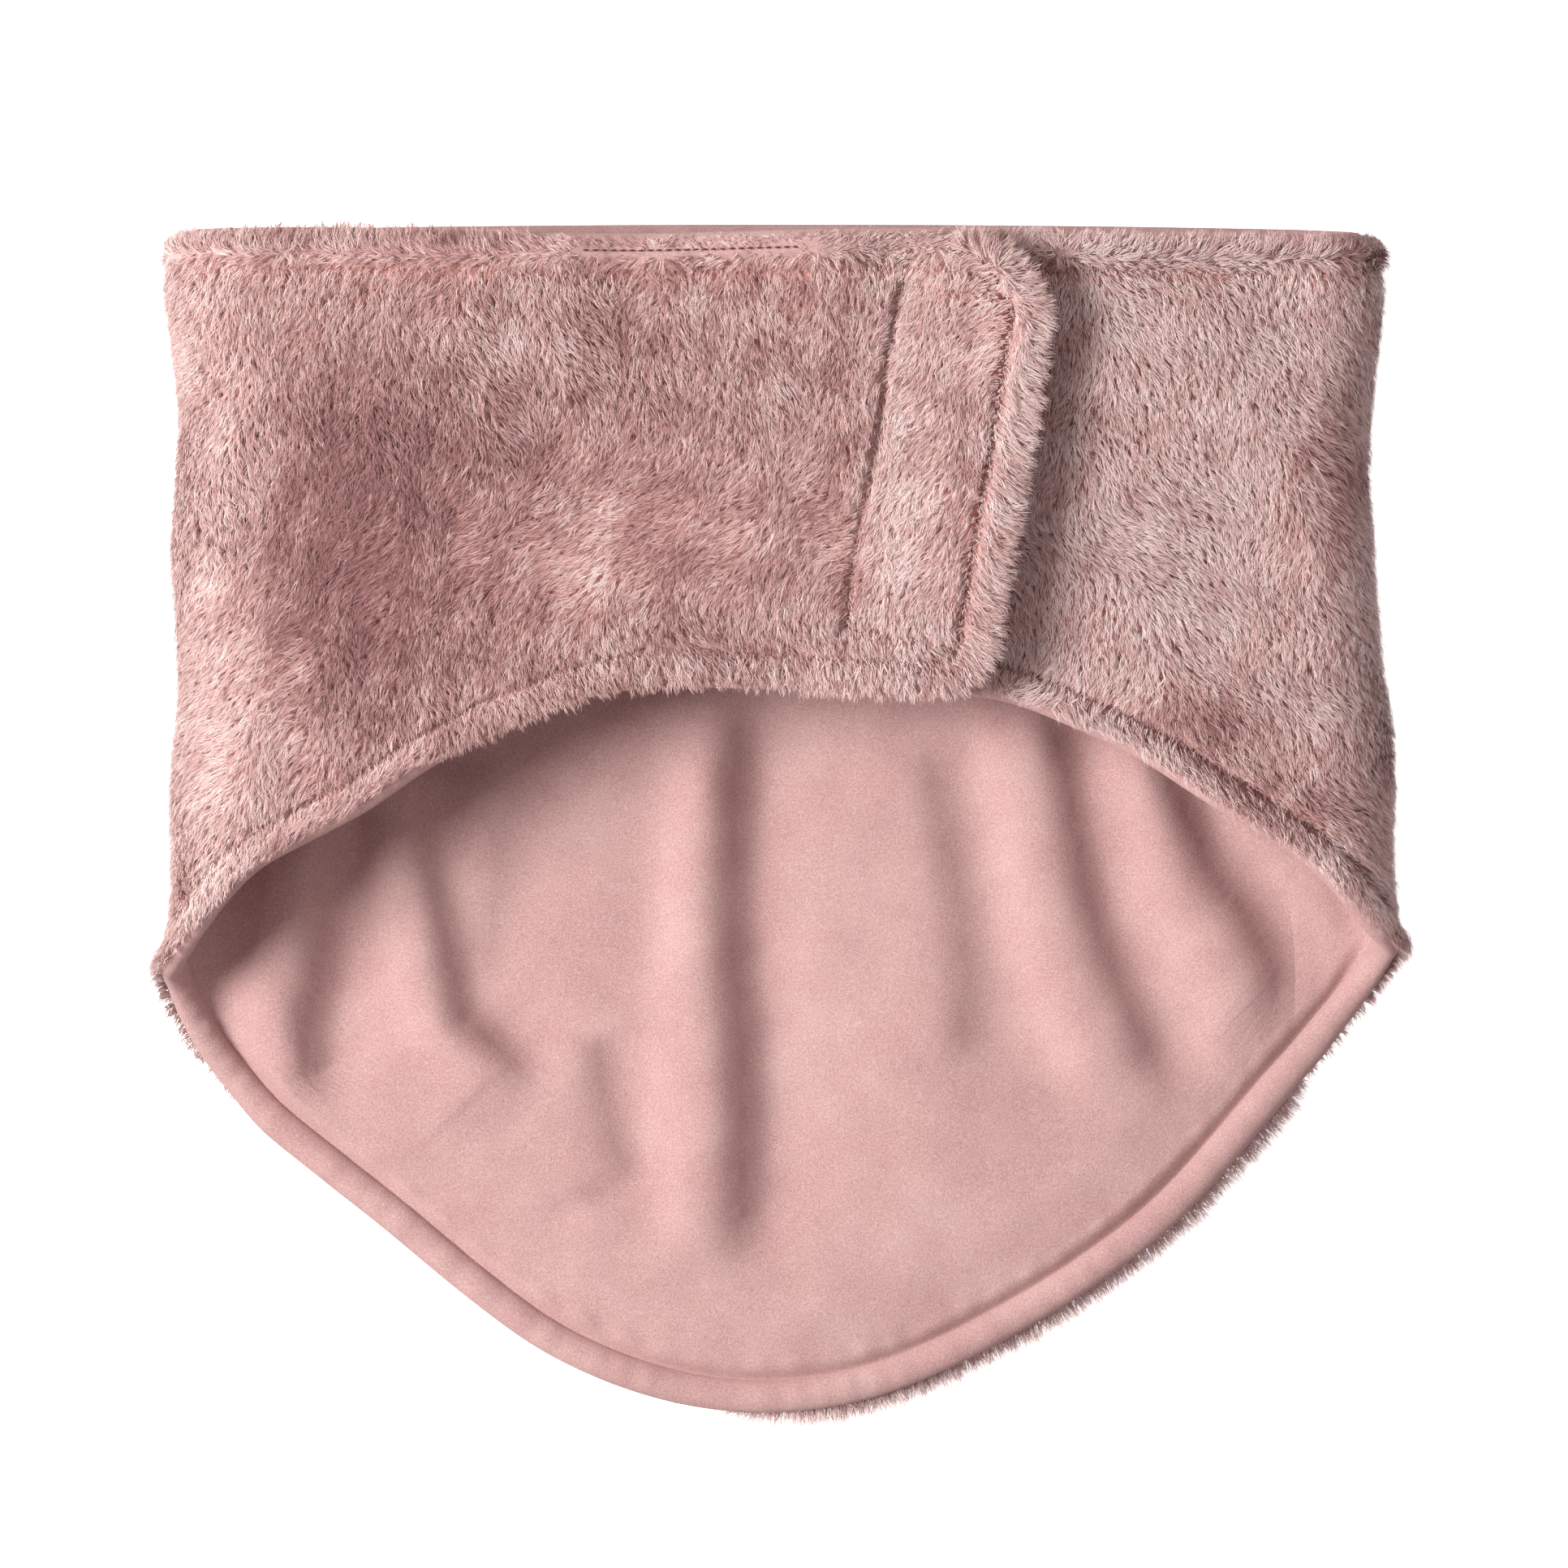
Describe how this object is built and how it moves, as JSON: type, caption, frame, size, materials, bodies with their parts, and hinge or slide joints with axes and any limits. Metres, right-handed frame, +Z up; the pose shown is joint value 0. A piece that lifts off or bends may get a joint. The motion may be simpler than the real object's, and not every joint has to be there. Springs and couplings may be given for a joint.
{
  "type": "neck warmer",
  "caption": "Wrap-around plush neck warmer with a jersey lining, a pointed bib at the back and a hook-and-loop front flap, laid flat on its back.",
  "frame": {"origin": "middle of the footprint on the surface that the neck warmer lies on", "axes": "+Z up, away from the surface, +Y towards the collar's top edge, +X towards the fold of the wing that lies under the flap"},
  "size_m": [0.274, 0.2661, 0.0473],
  "materials": {
    "plush": "long soft pile",
    "jersey": "brushed matte",
    "thread": "matte",
    "dark_thread": "matte",
    "hook_tape": "satin",
    "loop_tape": "soft pile"
  },
  "bodies": {
    "back": {"back_plush": "plush", "back_lining": "jersey", "back_top_binding": "jersey", "bib_binding": "jersey", "back_stitching": "thread"},
    "left_wing": {"left_plush": "plush", "left_lining": "jersey", "left_top_binding": "jersey", "left_hem_binding": "jersey", "left_stitching": "thread", "gap_stitches": "dark_thread"},
    "closure_flap": {"flap_plush": "plush", "flap_lining": "jersey", "flap_binding": "jersey", "flap_stitching": "thread", "hook_tape": "hook_tape", "hooks": "hook_tape", "hook_tape_stitches": "thread"},
    "right_wing": {"right_plush": "plush", "right_lining": "jersey", "right_binding": "jersey", "right_stitching": "thread", "loop_tape": "loop_tape", "loop_tape_stitches": "thread"}
  },
  "joints": [
    {"name": "left_fold", "type": "hinge", "parent": "back", "child": "left_wing", "pos_m": [-0.137, 0.045, 0.02335], "axis": [0, -1, 0], "range_deg": [0, 120]},
    {"name": "right_fold", "type": "hinge", "parent": "back", "child": "right_wing", "pos_m": [0.137, 0.045, 0.0185], "axis": [0, 1, 0], "range_deg": [0, 96]},
    {"name": "flap_crease", "type": "hinge", "parent": "left_wing", "child": "closure_flap", "pos_m": [0.006, 0.08, 0.0467], "axis": [0, -1, 0], "range_deg": [0, 110]}
  ],
  "couplings": [
    {"joint": "right_fold", "follows": "left_fold", "ratio": 0.8}
  ]
}
